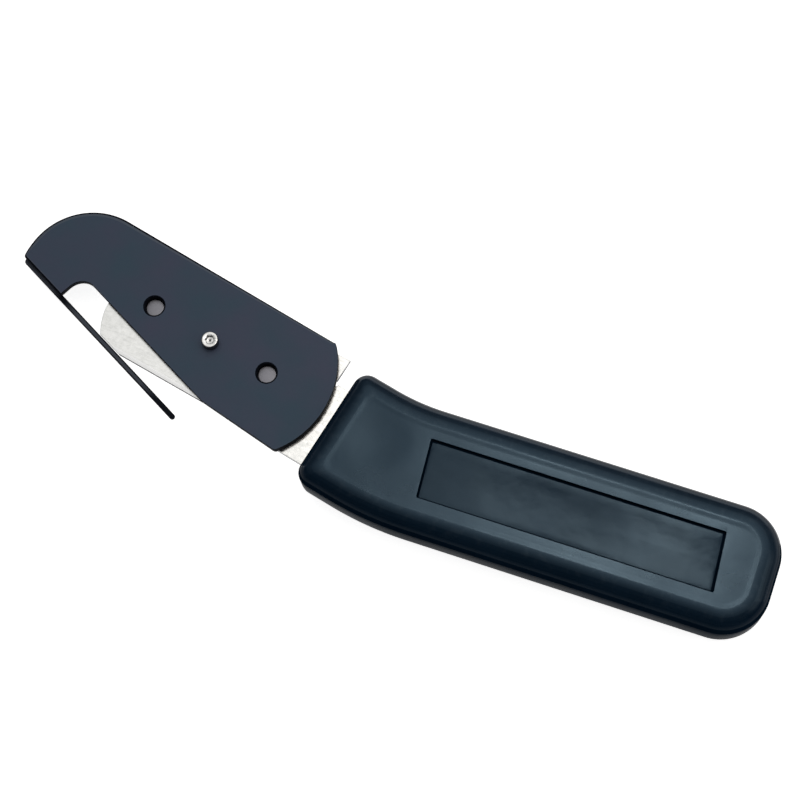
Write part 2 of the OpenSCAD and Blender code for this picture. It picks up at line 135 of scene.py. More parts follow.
# Rounding of the finger's root, start of its shank, and upright part of the normal of its face
ROOT_RIM, SHANK_START, FINGER_FACE = 0.15, 1, 0.99

# Levels
MID_Z = HANDLE_T / 2
BLADE_LOW, BLADE_TOP = MID_Z - BLADE_T / 2, MID_Z + BLADE_T / 2
GUARD_LOW = BLADE_TOP + SEAT_GAP
GUARD_HIGH = GUARD_LOW + GUARD_T
FINGER_LOW, BAR_LOW = GUARD_LOW - BLADE_T, BLADE_LOW - BAR_T

# Room: its brightest direction, how fast it dims away from there, its levels, and the floor's lift
ROOM_BRIGHT, ROOM_CURVE, ROOM_LEVELS, FLOOR_LIFT = (0.07, 0.38, 0.92), 4.5, (0.14, 1.22), 0.83

# Half the floor's width in metres, and its colour
FLOOR_HALF, FLOOR_GREY = 9, 0.88
# Lamps in metres and watts: name, place, aim, size and power
LAMP_COLOUR = (1.0, 0.91, 0.83)
LAMPS = (
    ("spot", (-0.02, 0.26, 1.0), (-0.02, 0.26, 0), (0.2, 0.07), 0.4),
    ("glint", (0.016, 0.229, 1.0), (0.016, 0.229, 0), (0.05, 0.03), 0.11),
    ("sheen", (-0.145, 0.23, 1.0), (-0.145, 0.23, 0), (0.1, 0.06), 0.06),
    ("fill", (0.8, 0.05, 0.45), (0.05, 0, 0), (0.5, 0.5), 0.8),
)
# Camera as the photograph's: lens and sensor in millimetres, place in metres, turn in degrees
LENS, SENSOR, CAMERA_CLIP = 94.5, 36.0, (0.01, 20.0)
CAMERA_AT, CAMERA_TURN = (0.01703, -0.11603, 0.5362), (15.945, 3.145, 18.881)

# Tints of the gloss on moulded plastic and on blackened metal
PLASTIC_TINT, BLACK_TINT = (0.53, 0.79, 1.0), (0.72, 0.86, 1.0)
# Where the finger gets its painted sheen, a lighter grey that stands in for reflections on the strip: end of
# the ledge of its root, start and end of its shank, and how much of it
SHEEN_LEDGE, SHEEN_START, SHEEN_END, SHEEN_SHARE = (-2.5, 0.5), (2, 7), (33, 39), 0.9

# Longest side of a mesh along a curve, and spacing of points inside a face
STEP, GRID = 0.5, 1.6
# Smallest triangle of a face, in square millimetres; a smaller one only closes a straight side's rounding
LEAST_AREA = 1e-5


def flat(x, y):
    return Vector((x, y))


def unit(deg):
    return flat(cos(radians(deg)), sin(radians(deg)))


def turned_by(p, deg):
    return flat(p[0] * cos(radians(deg)) - p[1] * sin(radians(deg)),
                p[0] * sin(radians(deg)) + p[1] * cos(radians(deg)))


def heading(v):
    return degrees(atan2(v.y, v.x)) % 360


def arc(centre, r, start, end, n=None):
    n = n or max(4, round(abs(radians(end - start)) * r / STEP))
    return [centre + r * unit(start + (end - start) * i / n) for i in range(n + 1)]


def between(a, b, n):
    """The n points that part the straight from a to b, without its ends."""
    return [a.lerp(b, i / (n + 1)) for i in range(1, n + 1)]


# Head frame: origin at the middle of the handle's front face, +X back along the neck, +Y to the spine
BEND_C = flat(-GRIP_LEN / 2, HALF_W + BEND_R)
NECK_FACE = BEND_C - AXIS_R * flat(sin(radians(BEND_DEG)), cos(radians(BEND_DEG))) \
    + NECK_LEN * flat(-cos(radians(BEND_DEG)), sin(radians(BEND_DEG)))
HEAD = Matrix.Translation((NECK_FACE.x, NECK_FACE.y, 0)) @ Matrix.Rotation(radians(-BEND_DEG), 4, "Z")
SPINE_Y, TANG_Y = BLADE_W - TANG_DROP, TANG_W - TANG_DROP
GUARD_Y = SPINE_Y + GUARD_OVER
FRONT_C = flat(BLADE_FRONT_R - BLADE_REACH, SPINE_Y - SPINE_FALL - BLADE_FRONT_R)
NOSE_C = flat(NOSE_R - BLADE_REACH - EYE_LEN - NOSE_LEN, GUARD_Y - NOSE_R)
REAR_C = flat(-REAR_GAP - REAR_R, REAR_RISE)
SLOT_ROOT = flat(-BLADE_REACH - EYE_LEN, -SLOT_DROP)
PIN_REACH = BLADE_REACH - PIN_SET
PINS = tuple(flat(side * PIN_GAP - PIN_REACH, PIN_RISE) for side in (-1, 1))
SCREW = flat(SCREW_BACK - PIN_REACH, PIN_RISE - SCREW_FALL)


def to_head(p):
    return turned_by(p - NECK_FACE, BEND_DEG)


def from_slot(s, w):
    """Point of the slot frame in the head frame: s runs to the slot's mouth, w across to the spine."""
    return SLOT_ROOT + turned_by((s, w), -SLOT_DEG)


def to_slot(p):
    return turned_by(p - SLOT_ROOT, SLOT_DEG)


def left_of(c, r, w):
    """Where a circle meets the line at height w on its nose side."""
    return flat(c.x - sqrt(r * r - (w - c.y) ** 2), w)


def fillet_c(c, big, n, offset, r, t):
    """Centre of a fillet r between the circle (c, big) and the line n * p = offset, on the side t."""
    d = offset - r - n.dot(c)
    return c + n * d + t * sqrt((big - r) ** 2 - d * d)


class Loop:
    """Closed outline with the material on its left, and the rounding of each side at its top and bottom."""

    def __init__(self, points, rims, low=0.1, steep=1.0):
        self.points = points
        self.rims = rims if isinstance(rims, list) else [rims] * len(points)
        self.lows = low if isinstance(low, list) else [low] * len(points)
        self.steep = steep

    def drawn_in(self, share, top=True):
        """The outline moved into the material by a share of each side's rounding."""
        moved = []
        for i, p in enumerate(self.points):
            before = (p - self.points[i - 1]).normalized()
            after = (self.points[(i + 1) % len(self.points)] - p).normalized()
            a, b = (share * (self.rims if top else self.lows)[j] for j in (i - 1, i))
            n, m = flat(-before.y, before.x), flat(-after.y, after.x)
            det = n.x * m.y - n.y * m.x
            if abs(det) < 0.5:
                moved.append(p + (n + m) * (a + b) / (n + m).length_squared)
            else:
                moved.append(p + flat(a * m.y - b * n.y, b * n.x - a * m.x) / det)
        return moved

    def drop(self, i, top):
        sides = self.rims if top else self.lows
        return max(sides[i - 1], sides[i]) * (self.steep if top else 1)


def circle(centre, d, rim, low=0.1, steep=1.0):
    """Round hole, with the material outside it."""
    n = max(24, 2 * round(pi * d / STEP))
    return Loop(arc(centre, d / 2, 360, 360 / n, n - 1), rim, low, steep)


def inside(p, loop):
    hit = False
    for a, b in zip(loop, loop[1:] + loop[:1]):
        if (a[1] > p[1]) != (b[1] > p[1]) and p[0] < a[0] + (p[1] - a[1]) * (b[0] - a[0]) / (b[1] - a[1]):
            hit = not hit
    return hit


class Shell:
    """Closed mesh put together from rings of points; its wear layer marks the exposed edges."""

    def __init__(self):
        self.bm = bmesh.new()
        self.wear = self.bm.verts.layers.float.new("wear")

    def vert(self, p, z, wear=0.0):
        v = self.bm.verts.new((p[0], p[1], z))
        v[self.wear] = wear
        return v

    def ring(self, points, heights, wear=0.0):
        return [self.vert(p, z, wear) for p, z in zip(points, heights)]

    def stack(self, rings):
        for low, high in zip(rings, rings[1:]):
            for i in range(len(low)):
                self.bm.faces.new((low[i - 1], low[i], high[i], high[i - 1]))

    def pole(self, ring, z):
        tip = self.vert((0, 0), z)
        for i in range(len(ring)):
            self.bm.faces.new((ring[i - 1], ring[i], tip))

    def cap(self, loops, height, points=(), lines=()):
        """Fills from the first ring to the others, through inner points and along inner lines."""
        verts = [v for loop in loops for v in loop]
        coords = [v.co.xy for v in verts]
        edges, start = [], 0
        for loop in loops:
            edges += [(start + i, start + (i + 1) % len(loop)) for i in range(len(loop))]
            start += len(loop)
        for line in lines:
            edges += [(len(coords) + i, len(coords) + i + 1) for i in range(len(line) - 1)]
            coords += [nearest(p, coords[:start]) for p in line]
        coords += [flat(*p) for p in points]
        out, _, faces, origin, _, _ = delaunay_2d_cdt(coords, edges, [], 0, 1e-5, True)
        made = []
        for p, ids in zip(out, origin):
            known = [i for i in ids if i < start]
            made.append(verts[known[0]] if known else self.vert(p, height(p)))
        plans = [[tuple(v.co.xy) for v in loop] for loop in loops]
        for face in faces:
            a, b, c = (out[i] for i in face)
            mid, area = (a + b + c) / 3, abs((b - a).cross(c - a)) / 2
            within = inside(mid, plans[0]) and not any(inside(mid, plan) for plan in plans[1:])
            if area > LEAST_AREA and within:
                self.bm.faces.new([made[i] for i in face])

    def rim(self, loop, face, steps, top=True):
        """Rings of a rounded edge from the wall to the face."""
        rings = []
        for k in range(steps + 1):
            q = pi / 2 * k / steps
            points = loop.drawn_in(1 - cos(q), top)
            inward = (sin(q) - 1) * (1 if top else -1)
            heights = [face(p) + loop.drop(i, top) * inward for i, p in enumerate(points)]
            rings.append(self.ring(points, heights, sin(2 * q)))
        return rings

    def piece(self, name, place=Matrix.Identity(4), sharp=38):
        """Turns the mesh into a smooth object with crisp edges, in metres in the part's frame."""
        bmesh.ops.remove_doubles(self.bm, verts=self.bm.verts, dist=1e-5)
        self.bm.transform(Matrix.Scale(MM, 4) @ place)
        bmesh.ops.recalc_face_normals(self.bm, faces=self.bm.faces)
        mesh = bpy.data.meshes.new(name)
        self.bm.to_mesh(mesh)
        self.bm.free()
        mesh.shade_smooth()
        mesh.set_sharp_from_angle(angle=radians(sharp))
        piece = bpy.data.objects.new(name, mesh)
        bpy.context.scene.collection.objects.link(piece)
        piece.modifiers.new("normals", "WEIGHTED_NORMAL").keep_sharp = True
        return piece


def nearest(p, coords, reach=0.12):
    """The ring's own point next to p, or p where none is near."""
    found = min(coords, key=lambda c: (c - p).length)
    return found.copy() if (found - p).length < reach else flat(*p)


def plate(outer, holes, top, bottom, steps=4, lines=(), pits=(), points=()):
    """Plate with rounded edges, through holes and blind holes in its underside."""
    shell = Shell()
    walls = []
    for loop in [outer] + list(holes):
        low = shell.rim(loop, bottom, 2, top=False)[::-1]
        high = shell.rim(loop, top, steps)
        shell.stack(low + high)
        walls.append((low[0], high[-1]))
    mouths = [pit_in(shell, loop, bottom, end) for loop, end in pits]
    shell.cap([high for _, high in walls], top, points, lines)
    shell.cap([low for low, _ in walls] + mouths, bottom, lines=lines)
    return shell


def pit_in(shell, loop, face, end):
    """Blind hole from a face to the height end; gives its mouth."""
    down = end < face(loop.points[0])
    rings = shell.rim(loop, face, 3, top=down)[::-1]
    rings.append(shell.ring(loop.points, [end] * len(loop.points)))
    shell.stack(rings)
    shell.cap([rings[-1]], lambda p: end)
    return rings[0]


def level(z):
    return lambda p: z


def revolve(shell, rings, sides):
    """Turned piece from rings of a radius, or a radius at each angle, and a height; zero radii close it."""
    turns = [2 * pi * i / sides for i in range(sides)]
    made = []
    for r, z in rings:
        if r:
            size = r if callable(r) else lambda a, r=r: r
            made.append(shell.ring([flat(cos(a), sin(a)) * size(a) for a in turns], [z] * sides))
    shell.stack(made)
    shell.pole(made[0], rings[0][1])
    shell.pole(made[-1], rings[-1][1])


def hexagon(flats):
    return lambda a: flats / 2 / cos((a + pi / 6) % (pi / 3) - pi / 6)


# Handle and label
def corner_r(d):
    return max(NECK_R - d, LEAST_R)


def neck_corner(side, d):
    inset = d + corner_r(d)
    return NECK_FACE + turned_by((inset, side * (HALF_W - inset)), -BEND_DEG)


def handle_ring(d):
    """Outline of the handle, drawn in by d, with the same number of points at every d."""
    end = GRIP_LEN / 2 - BUTT_R
    arcs = (
        (arc(flat(end, BUTT_R - HALF_W), BUTT_R - d, -90, 0, 24), 5),
        (arc(flat(end, HALF_W - BUTT_R), BUTT_R - d, 0, 90, 24), 48),
        (arc(BEND_C, BEND_R + d, -90, -90 - BEND_DEG, 12), 6),
        (arc(neck_corner(1, d), corner_r(d), 90 - BEND_DEG, 180 - BEND_DEG, 14), 12),
        (arc(neck_corner(-1, d), corner_r(d), 180 - BEND_DEG, 270 - BEND_DEG, 14), 6),
        (arc(BEND_C, BEND_R + HANDLE_W - d, -90 - BEND_DEG, -90, 14), 48),
    )
    ring = []
    for i, (points, n) in enumerate(arcs):
        ring += points + between(points[-1], arcs[(i + 1) % len(arcs)][0][0], n)
    return ring


def across(p):
    """Distance of a point of the face from the handle's bent axis."""
    if p[0] > BEND_C.x:
        return p[1]
    head = to_head(flat(*p))
    return head.y if head.x < NECK_LEN else AXIS_R - (flat(*p) - BEND_C).length


def handle_face(p):
    far = hypot(p[0] - HOLLOW_AT[0], p[1] - HOLLOW_AT[1]) / HOLLOW_R
    hollow = HOLLOW_DEPTH * max(0, 1 - far * far) ** 2
    return HANDLE_T - LIP - DISH * (1 - (across(p) / FACE_HALF) ** 2) - hollow


def smooth(t):
    t = min(1, max(0, t))
    return t * t * (3 - 2 * t)


def label_corners(gaps):
    """Slanted outline of the label, with a gap on its left, right, top and bottom side."""
    left, right, top, bottom = gaps
    lean = tan(radians(LABEL_SLANT))
    low, high = bottom - LABEL_W / 2, LABEL_W / 2 - top
    start, end = LABEL_X - LABEL_LEN / 2 + left, LABEL_X + LABEL_LEN / 2 - right
    return [flat(start - low * lean, low), flat(end - low * lean, low),
            flat(end - high * lean, high), flat(start - high * lean, high)]


def softened(corners, r, step):
    """Outline with its corners rounded and its sides parted."""
    points = []
    for i, p in enumerate(corners):
        to, back = (corners[(i + 1) % 4] - p), (corners[i - 1] - p)
        half = to.angle(back) / 2
        centre = p + (to.normalized() + back.normalized()).normalized() * r / sin(half)
        out = heading(flat(-back.y, back.x))
        points.append(arc(centre, r, out, out + 180 - degrees(2 * half), 5))
    ring = []
    for i, points_here in enumerate(points):
        nxt = points[(i + 1) % 4][0]
        n = int((nxt - points_here[-1]).length / step)
        ring += points_here + between(points_here[-1], nxt, n)
    return ring


def gloss_of(face):
    """Gloss level of a face by its height; the rounded edge away from the spine is one level duller."""
    z = face.calc_center_median().z
    number = next(i for i, (limit, _, _) in enumerate(SHINES) if z >= limit)
    if number >= DULL_LEVEL and (face.normal.y > SPINE_SIDE or face.normal.z < UNDERSIDE):
        return SATIN_LEVEL
    return number + 1 if face.normal.y < AWAY_SIDE and 0 < number <= SATIN_LEVEL else number


def make_handle():
    """Handle with a satin face and duller sides; a material for each level of gloss."""
    shell = Shell()
    rings = []
    for k in range(FOOT_ROWS + 1):
        q = pi / 2 * k / FOOT_ROWS
        points = handle_ring(EDGE_R * (1 - sin(q)))
        rings.append(shell.ring(points, [EDGE_R * (1 - cos(q))] * len(points), FOOT_WEAR * sin(2 * q)))
    rings += [shell.ring(handle_ring(0), [z] * len(rings[0])) for z in SIDE_ROWS]
    for k in range(TOP_ROWS + 1):
        q = pi / 2 * k / TOP_ROWS
        points = handle_ring(EDGE_R * (1 - cos(q)))
        drop = EDGE_R * (1 - sin(q))
        rings.append(shell.ring(points, [handle_face(p) + LIP - drop for p in points], sin(q) ** 6))
    shell.stack(rings)
    shell.cap([rings[0]], level(0))
    edge = set(shell.bm.faces)
    pocket = Loop(softened(label_corners((0, 0, 0, 0)), LABEL_CORNER, GRID)[::-1], LABEL_RIM)
    mouth = pit_in(shell, pocket, handle_face, LABEL_FLOOR)
    bmesh.ops.recalc_face_normals(shell.bm, faces=shell.bm.faces)
    for face in edge:
        face.material_index = gloss_of(face)
    for face in set(shell.bm.faces) - edge:
        face.material_index = DULL_LEVEL
    lip = [rings[-1]]
    for k in range(1, LIP_ROWS + 1):
        t = k / LIP_ROWS
        points = handle_ring(EDGE_R + LIP_W * t)
        heights = [handle_face(p) + LIP * (1 - smooth(t)) for p in points]
        lip.append(shell.ring(points, heights, (1 - t) ** 4))
    shell.stack(lip)
    border, hole = ([tuple(v.co.xy) for v in ring] for ring in (lip[-1], mouth))
    shell.cap([lip[-1], mouth], handle_face, points=face_points(border, hole))
    return shell.piece("handle_moulding", sharp=24)


def face_points(border, hole):
    """Grid of points in the face, clear of its border and of the label's pocket."""
    rims = np.array(border + hole)
    low, high = rims.min(0), rims.max(0)
    points = []
    for x in np.arange(low[0], high[0], GRID):
        for y in np.arange(low[1], high[1], GRID):
            p = (float(x), float(y))
            if np.hypot(*(rims - p).T).min() > 0.6 * GRID and inside(p, border) and not inside(p, hole):
                points.append(p)
    return points


def label_face(p):
    return LABEL_TOP - LABEL_DISH * (1 - (2 * p[1] / LABEL_W) ** 2)


def make_label():
    outline = Loop(softened(label_corners(LABEL_GAPS), LABEL_CORNER, GRID), LABEL_RIM, low=LABEL_FOOT)
    points = face_points([tuple(p) for p in outline.points], [])
    return plate(outline, [], label_face, level(LABEL_FLOOR), steps=3, points=points).piece("label_inlay")


# Blade
CLIP_FALL = EDGE_DROP - SLOT_DROP + TIP_GAP * cos(radians(SLOT_DEG))
CLIP_END = from_slot(CLIP_FALL / sin(radians(SLOT_DEG)), TIP_GAP)
EDGE_RUN = -CHOIL_REACH - CLIP_END.x
EDGE_DIR = unit(EDGE_RISE)
EDGE_N = flat(-EDGE_DIR.y, EDGE_DIR.x)


def tang_outline(low_x, high_x):
    """Outline of the tang, from low_x back round its tail to high_x."""
    tail = flat(TAIL_LEN - GRIP_LEN / 2 - TAIL_W / 2, 0)
    return [flat(low_x, -TANG_DROP), flat(TANG_IN, -TANG_DROP)] \
        + [to_head(p) for p in arc(BEND_C, AXIS_R + TAIL_W / 2, -90 - BEND_DEG, -90, 10)] \
        + [to_head(p) for p in arc(tail, TAIL_W / 2, -90, 90)] \
        + [to_head(p) for p in arc(BEND_C, AXIS_R - TAIL_W / 2, -90, -90 - BEND_DEG, 10)] \
        + [flat(TANG_IN, TANG_Y), flat(high_x, TANG_Y)]


def ground(p):
    """Share of the bevel's depth at a point: full at the cutting edge, running out at the choil."""
    d, along = (p - CLIP_END).dot(EDGE_N), (p - CLIP_END).dot(EDGE_DIR)
    return max(0, 1 - d / BEVEL_W) * smooth((EDGE_RUN - PLUNGE_START - along) / PLUNGE)


def blade_face(p):
    return BLADE_TOP - ((BLADE_T - KEEN_T) / 2 - KEEN_RISE) * ground(p)


def blade_back(p):
    return BLADE_LOW + ((BLADE_T - KEEN_T) / 2 + KEEN_RISE) * ground(p)


def make_blade():
    heel = CLIP_END + EDGE_RUN * flat(1, tan(radians(EDGE_RISE)))
    clip = to_slot(FRONT_C)
    clip_deg = heading(left_of(clip, BLADE_FRONT_R, TIP_GAP) - clip) - SLOT_DEG
    front = arc(FRONT_C, BLADE_FRONT_R, 90, clip_deg)
    edge = [CLIP_END] + between(CLIP_END, heel, EDGE_POINTS) + [heel]
    notch = arc(flat(-SHOULDER_GAP, TANG_Y), RELIEF_R, 0, -270, 16)
    tang = tang_outline(-CHOIL_REACH, -SHOULDER_GAP + RELIEF_R)
    points = edge + tang[:-1] + notch + [flat(-SHOULDER_GAP, SPINE_Y)] + front \
        + between(front[-1], CLIP_END, CLIP_POINTS)
    rims = [KEEN_RIM] * (len(edge) - 1) + [BLADE_RIM] * (len(points) - len(edge) - CLIP_POINTS) \
        + [CLIP_RIM] * (CLIP_POINTS + 1)
    bores = [circle(p, PIN_D + 2 * PRESS_GAP, BROKEN) for p in PINS]
    bores.append(circle(SCREW, SCREW_D + 2 * THROUGH_GAP, BROKEN))
    anchors = (flat(ANCHOR_X + k * ANCHOR_GAP - GRIP_LEN / 2, 0) for k in (0, 1))
    bores += [circle(to_head(p), ANCHOR_D, BROKEN) for p in anchors]
    lines = []
    for d in (HONED, BEVEL_MID, BEVEL_W):
        start = CLIP_END + EDGE_N * d - EDGE_DIR * (d / tan(radians(SLOT_DEG + EDGE_RISE)))
        end = heel + EDGE_N * d - EDGE_DIR * LINE_STOP
        lines.append([start] + between(start, end, LINE_POINTS) + [end])
    shell = plate(Loop(points, rims, low=KEEN_RIM), bores, blade_face, blade_back, steps=2, lines=lines)
    blade = shell.piece("hook_blade", HEAD, sharp=12)
    for face in blade.data.polygons:
        rise = abs(face.normal.z)
        at = (HEAD.inverted() @ (face.center / MM)).xy - CLIP_END
        honed = at.dot(EDGE_N) < HONED and at.dot(EDGE_DIR) < EDGE_RUN
        # Sides and the honed strip get the near-black steel, painted shade along the blade's edges
        face.material_index = 1 if rise < BLADE_SIDE or honed else 2 if rise < BLADE_BEVEL else 0
    return blade


# Guard plate and finger
def guard_loop():
    """Outline of the guard plate, counterclockwise from its lower rear corner, with its edge roundings."""
    chin_w = CHIN_LEDGE - FINGER_W
    fall = radians(GUARD_FALL)
    under_n, under_c = flat(-sin(fall), -cos(fall)), (TANG_DROP + GUARD_UNDER) * cos(fall)
    chin_n = turned_by((0, -1), -SLOT_DEG)
    under = fillet_c(REAR_C, REAR_R, under_n, under_c, REAR_CORNER_R, flat(-under_n.y, under_n.x))
    top = fillet_c(REAR_C, REAR_R, flat(0, 1), GUARD_Y, REAR_CORNER_R, flat(1, 0))
    chin = fillet_c(NOSE_C, NOSE_R, chin_n, chin_n.dot(from_slot(0, chin_w)), CHIN_CORNER,
                    turned_by((-1, 0), -SLOT_DEG))
    under_deg, top_deg = heading(under - REAR_C) - 360, heading(top - REAR_C)
    chin_deg = heading(chin - NOSE_C)
    wall, along = from_slot(0, SLOT_W), turned_by((1, 0), -SLOT_DEG)
    mouth = wall + along * (under_c - under_n.dot(wall)) / under_n.dot(along)
    crisp, soft, eased = (CRISP, BROKEN), (GUARD_ROUND, BROKEN), (CRISP, SLOT_EASE)
    corner = arc(top, REAR_CORNER_R, top_deg, 90, 8)
    turns = [unit(180 - 90 * i / 24) for i in range(25)]
    slot = [from_slot(SLOT_R + (SLOT_R - SLOT_IN) * t.x, SLOT_W - SLOT_R + SLOT_R * t.y) for t in turns]
    nose = arc(NOSE_C, NOSE_R, 90, chin_deg, 56)[:-1]
    nook = arc(chin, CHIN_CORNER, chin_deg, heading(chin_n), 8)
    chin_end = from_slot(SLOT_IN, chin_w)
    least = CHIN_SHARE * CHIN_CORNER
    sizes = [GUARD_ROUND + (least - GUARD_ROUND) * (i + 1) / TAPER for i in range(TAPER)]
    runs = (
        (arc(under, REAR_CORNER_R, heading(under_n) - 360, under_deg, 8)[:-1], crisp),
        (arc(REAR_C, REAR_R, under_deg, top_deg, 64)[:-1], crisp),
        (corner[:-1], crisp),
        ([corner[-1]], soft),
        (nose[:-TAPER], soft),
        *(([p], (size, BROKEN)) for p, size in zip(nose[-TAPER:], sizes)),
        (nook, (least, BROKEN)),
        ([chin_end, from_slot(SLOT_IN, chin_w + 2)], eased),
        (slot, eased),
        ([mouth], crisp),
    )
    points = [p for run, _ in runs for p in run]
    top, low = ([rim[i] for run, rim in runs for _ in run] for i in (0, 1))
    return Loop(points, top, low, GUARD_STEEP)


def make_guard():
    holes = [circle(p, PIN_D + 2 * RUN_GAP, HOLE_LIP, steep=HOLE_STEEP) for p in PINS]
    holes.append(circle(SCREW, SCREW_D + 2 * THROUGH_GAP, BROKEN))
    pit_end = GUARD_LOW + FINGER_SCREW_IN + PRESS_GAP
    pits = [(circle(from_slot(-s, w), FINGER_SCREW_D + 2 * PRESS_GAP, BROKEN), pit_end)
            for s, w in FINGER_SCREWS]
    shell = plate(guard_loop(), holes, level(GUARD_HIGH), level(GUARD_LOW), steps=6, pits=pits)
    guard = shell.piece("guard_cover", HEAD)
    for face in guard.data.polygons:
        slope = abs(face.normal.z)
        at = (HEAD.inverted() @ (face.center / MM)).xy
        # Walls, steep roundings, the pin holes' lips and the rounding away from the spine get the near-black
        # finish as painted shade; gentler roundings get the lighter finish as painted highlight
        in_shaded_lip = any((at - pin).length < PIN_D / 2 + RUN_GAP + SHADE_LIP * HOLE_LIP for pin in PINS)
        dark = slope < GUARD_SHADE or in_shaded_lip or (slope < GUARD_NEAR_SHADE and face.normal.y < 0)
        face.material_index = 1 if dark else 2 if slope < GUARD_EDGE_HIGHLIGHT else 0
    return guard


def make_finger():
    nose = to_slot(NOSE_C)
    root_r = NOSE_R - ROOT_INSET
    top = left_of(nose, root_r, ROOT_W)
    foot = fillet_c(nose, root_r, flat(0, -1), FINGER_W, FOOT_R, flat(-1, 0))
    tip = arc(flat(FINGER_LEN - FINGER_W / 2, -FINGER_W / 2), FINGER_W / 2, -90, 90, 16)
    foot_deg = heading(foot - nose)
    root = arc(nose, root_r, heading(top - nose), foot_deg, 32)[:-1] + arc(foot, FOOT_R, foot_deg, 270, 8)
    root = [flat(-ROOT_BACK, 0), flat(-ROOT_BACK, ROOT_W)] + root
    rims = [FINGER_ROUND] * len(tip) + [ROOT_RIM] * len(root) + [FINGER_ROUND]
    slot_points = tip + root + [flat(SHANK_START, -FINGER_W)]
    outline = Loop([from_slot(p.x, p.y) for p in slot_points], rims, low=ROOT_RIM)
    holes = [circle(from_slot(-s, w), FINGER_SCREW_D + 2 * PRESS_GAP, 0.05,
                    low=(FINGER_HEAD_D - FINGER_SCREW_D) / 2) for s, w in FINGER_SCREWS]
    shell = plate(outline, holes, level(GUARD_LOW), level(FINGER_LOW), steps=4)
    finger = shell.piece("guide_finger_strip", HEAD)
    for face in finger.data.polygons:
        face.material_index = 0 if face.normal.z > FINGER_FACE else 1
    return finger


def make_finger_screws():
    shell = Shell()
    head_h = (FINGER_HEAD_D - FINGER_SCREW_D) / 2
    rings = [(0, 0.7), (hexagon(0.95), 0.75), (hexagon(0.95), 0.08), (0.62, 0)]
    rings += [(FINGER_HEAD_D / 2 - 0.08, 0), (FINGER_HEAD_D / 2 - 0.04, 0.03), (FINGER_SCREW_D / 2, head_h)]
    top = BLADE_T + FINGER_SCREW_IN
    rings += [(FINGER_SCREW_D / 2, top - 0.3), (FINGER_SCREW_D / 2 - 0.25, top), (0, top)]
    for s, w in FINGER_SCREWS:
        before = set(shell.bm.verts)
        revolve(shell, rings, 48)
        spot = from_slot(-s, w)
        for v in set(shell.bm.verts) - before:
            v.co += Vector((spot.x, spot.y, FINGER_LOW))
    return shell.piece("finger_screw_pair", HEAD)


# Screw, bar and pins
def thread(z, fade):
    """Radius of the screw's thread round its axis at a height."""
    def radius(a):
        ride = abs((z / SCREW_PITCH - a / (2 * pi)) % 1 - 0.5) * 2
        return SCREW_D / 2 - THREAD_H * fade * min(1, max(0, 1.35 * ride - 0.15))
    return radius


def knurl(r, depth):
    return lambda a: r - depth * (0.5 - 0.5 * cos(KNURLS * a))


def make_clamp_screw():
    shell = Shell()
    low, head_r, top = BAR_LOW - GUARD_HIGH, SCREW_HEAD_D / 2, SCREW_HEAD_H
    rings = [(0, low), (SCREW_D / 2 - 0.35, low)]
    for k in range(THREAD_ROWS + 1):
        z = low + THREAD_START + (THREAD_END - THREAD_START) * k / THREAD_ROWS
        rings.append((thread(z, min(1, 8 * k / THREAD_ROWS, 6 * (1 - k / THREAD_ROWS))), z))
    rings += [(SCREW_D / 2, low + THREAD_OUT), (SCREW_D / 2, -0.01)]
    # The head: its foot, its knurled side, its rounding and its socket
    rings += [(head_r - 0.15, 0), (head_r, 0.12), (head_r, 0.3)]
    grip = knurl(head_r, KNURL_DEPTH)
    rings += [(grip, 0.4), (grip, top - 0.5), (head_r, top - 0.4)]
    rings += [(head_r - HEAD_ROUND * (1 - cos(radians(q))), top - HEAD_ROUND * (1 - sin(radians(q))))
              for q in range(0, 91, 15)]
    floor = top - SOCKET_H + 0.4
    rings += [(SOCKET_AF / 2 + HEAD_ROUND, top), (hexagon(SOCKET_AF), top - 0.13)]
    rings += [(hexagon(SOCKET_AF), floor + 0.05), (hexagon(SOCKET_AF - 0.08), floor)]
    rings += [(0.32, floor), (0, floor - 0.25)]
    revolve(shell, rings, 144)
    place = HEAD @ Matrix.Translation((SCREW.x, SCREW.y, GUARD_HIGH))
    screw = shell.piece("socket_screw", place)
    for face in screw.data.polygons:
        # Sides and the socket's walls get the darker steel as painted shade
        face.material_index = 1 if abs(face.normal.z) < SCREW_SIDE else 0
    return screw


def make_clamp_bar():
    ends = arc(PINS[1], BAR_W / 2, -90, 90) + arc(PINS[0], BAR_W / 2, 90, 270)
    holes = [circle(p, PIN_D + 2 * PRESS_GAP, CRISP) for p in PINS]
    holes.append(circle(SCREW, SCREW_D + 2 * RUN_GAP, 0.15))
    shell = plate(Loop(ends, 0.25, low=0.45), holes, level(BLADE_LOW), level(BAR_LOW), steps=4)
    return shell.piece("clamp_bar_body", HEAD)


def make_pin(name, spot):
    shell = Shell()
    length, r, c = BAR_T + BLADE_T + PIN_STAND, PIN_D / 2, PIN_CHAMFER
    rings = [(0, 0), (r - 0.2, 0), (r, 0.2), (r, length - c)]
    rings += [(r - c * (1 - cos(radians(q))), length - c * (1 - sin(radians(q))))
              for q in range(15, 91, 15)]
    rings.append((0, length))
    revolve(shell, rings, 96)
    return shell.piece(name, HEAD @ Matrix.Translation((spot.x, spot.y, BAR_LOW)))


